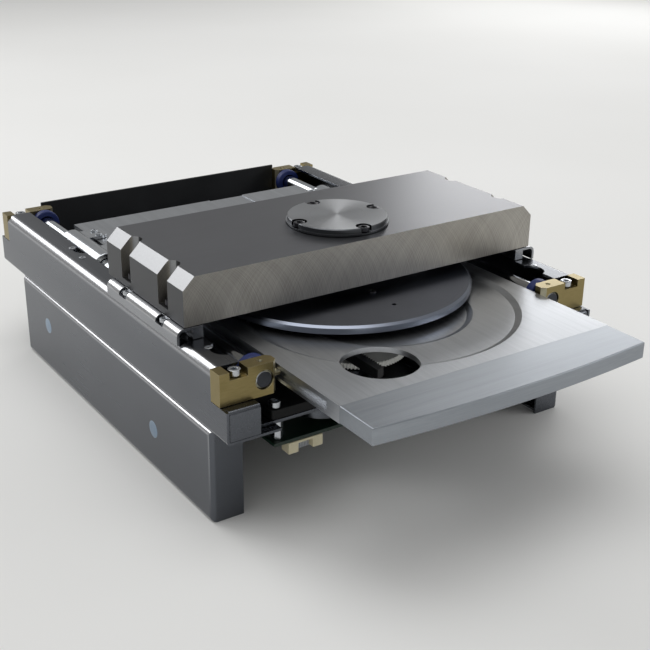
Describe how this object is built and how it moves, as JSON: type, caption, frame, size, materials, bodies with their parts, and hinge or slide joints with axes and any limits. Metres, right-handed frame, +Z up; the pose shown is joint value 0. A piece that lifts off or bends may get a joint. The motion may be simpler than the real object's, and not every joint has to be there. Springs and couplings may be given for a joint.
{
  "type": "disc player mechanism",
  "caption": "Tray-loading disc transport: a milled bridge holds a hanging turntable over a part-open tray on guide rods, between folded side frames and legs, with gear drive and pickup below.",
  "frame": {"origin": "middle of the overall footprint, on the floor that the feet stand on", "axes": "+Z up; the tray opens towards -Y; +X to the right seen from the front"},
  "size_m": [0.199, 0.3148, 0.1042],
  "materials": {
    "brushed_aluminium": "brushed",
    "milled_aluminium": "milled, satin",
    "dark_anodised": "dark anodised",
    "satin_steel": "satin plated",
    "polished_steel": "ground and polished",
    "gold_anodised": "gold anodised",
    "black_plastic": "matt",
    "white_plastic": "matt",
    "cream_plastic": "matt",
    "blue_rubber": "matt",
    "black_screw": "black oxide",
    "board_green": "satin",
    "lens_glass": "clear gloss",
    "black_sheet": "matt black"
  },
  "bodies": {
    "chassis": {"base_plate": "satin_steel", "block_screw_front_left": "polished_steel", "block_screw_front_right": "polished_steel", "block_screw_rear_left": "polished_steel", "block_screw_rear_right": "polished_steel", "board_connector": "cream_plastic", "board_standoff_left": "polished_steel", "board_standoff_right": "polished_steel", "bridge_block": "milled_aluminium", "bridge_screw_left_front": "black_screw", "bridge_screw_left_rear": "black_screw", "bridge_screw_right_front": "black_screw", "bridge_screw_right_rear": "black_screw", "bumper_front_left": "blue_rubber", "bumper_front_right": "blue_rubber", "bumper_rear_left": "blue_rubber", "bumper_rear_right": "blue_rubber", "cap_screw_front": "black_screw", "cap_screw_left": "black_screw", "cap_screw_rear": "black_screw", "cap_screw_right": "black_screw", "clamp_guide": "polished_steel", "control_board": "board_green", "end_block_front_left": "gold_anodised", "end_block_front_right": "gold_anodised", "end_block_rear_left": "gold_anodised", "end_block_rear_right": "gold_anodised", "feed_motor": "satin_steel", "gear_axle": "polished_steel", "guide_rod_left": "polished_steel", "guide_rod_right": "polished_steel", "loading_motor": "satin_steel", "lower_plate_left": "satin_steel", "lower_plate_right": "satin_steel", "motor_cap": "brushed_aluminium", "rear_panel": "black_sheet", "riser_left": "satin_steel", "riser_right": "satin_steel", "side_frame_left": "satin_steel", "side_frame_right": "satin_steel", "sled_rod_left": "polished_steel", "sled_rod_right": "polished_steel", "spindle_motor": "satin_steel", "switch_screw": "polished_steel", "tray_switch": "black_plastic"},
    "tray": {"tray_plate": "brushed_aluminium", "tray_front": "brushed_aluminium", "bearing_sleeve_left": "polished_steel", "bearing_sleeve_right": "polished_steel", "tray_rack": "black_plastic"},
    "spindle": {"turntable": "dark_anodised", "spindle_shaft": "polished_steel"},
    "loading_gear": {"loading_gear": "white_plastic"},
    "motor_pinion": {"motor_pinion": "black_plastic"},
    "clamp_lifter": {"clamp_lifter": "brushed_aluminium"},
    "clamp_hub": {"clamp_hub": "black_plastic"},
    "pickup": {"pickup_sled": "black_plastic"},
    "lens": {"pickup_lens": "lens_glass"},
    "feed_screw": {"feed_screw": "polished_steel"}
  },
  "joints": [
    {"name": "tray_slide", "type": "slide", "parent": "chassis", "child": "tray", "axis": [0, -1, 0], "range_m": [-0.0349, 0.0924]},
    {"name": "turntable_spin", "type": "hinge", "parent": "chassis", "child": "spindle", "pos_m": [0, -0.026, 0.08], "axis": [0, 0, 1], "continuous": true},
    {"name": "loading_gear_spin", "type": "hinge", "parent": "chassis", "child": "loading_gear", "pos_m": [-0.015, -0.0647, 0.055], "axis": [0, 0, 1], "continuous": true},
    {"name": "motor_pinion_spin", "type": "hinge", "parent": "chassis", "child": "motor_pinion", "pos_m": [-0.04131, -0.07428, 0.055], "axis": [0, 0, 1], "continuous": true},
    {"name": "clamp_lift", "type": "slide", "parent": "chassis", "child": "clamp_lifter", "axis": [0, 0, 1], "range_m": [0, 0.0121]},
    {"name": "clamp_spin", "type": "hinge", "parent": "clamp_lifter", "child": "clamp_hub", "pos_m": [0, -0.026, 0.055], "axis": [0, 0, 1], "continuous": true},
    {"name": "pickup_feed", "type": "slide", "parent": "chassis", "child": "pickup", "axis": [0, 1, 0], "range_m": [0, 0.034]},
    {"name": "lens_focus", "type": "slide", "parent": "pickup", "child": "lens", "axis": [0, 0, 1], "range_m": [-0.0002, 0.0012], "stiffness_N_per_m": 30, "springref_m": 0.0002},
    {"name": "feed_screw_spin", "type": "hinge", "parent": "chassis", "child": "feed_screw", "pos_m": [0.033, 0.03, 0.0536], "axis": [0, 1, 0], "continuous": true}
  ],
  "couplings": [
    {"joint": "loading_gear_spin", "follows": "tray_slide", "rad_per_m": 83.333},
    {"joint": "motor_pinion_spin", "follows": "tray_slide", "rad_per_m": -305.56},
    {"joint": "feed_screw_spin", "follows": "pickup_feed", "rad_per_m": 2094.4}
  ]
}
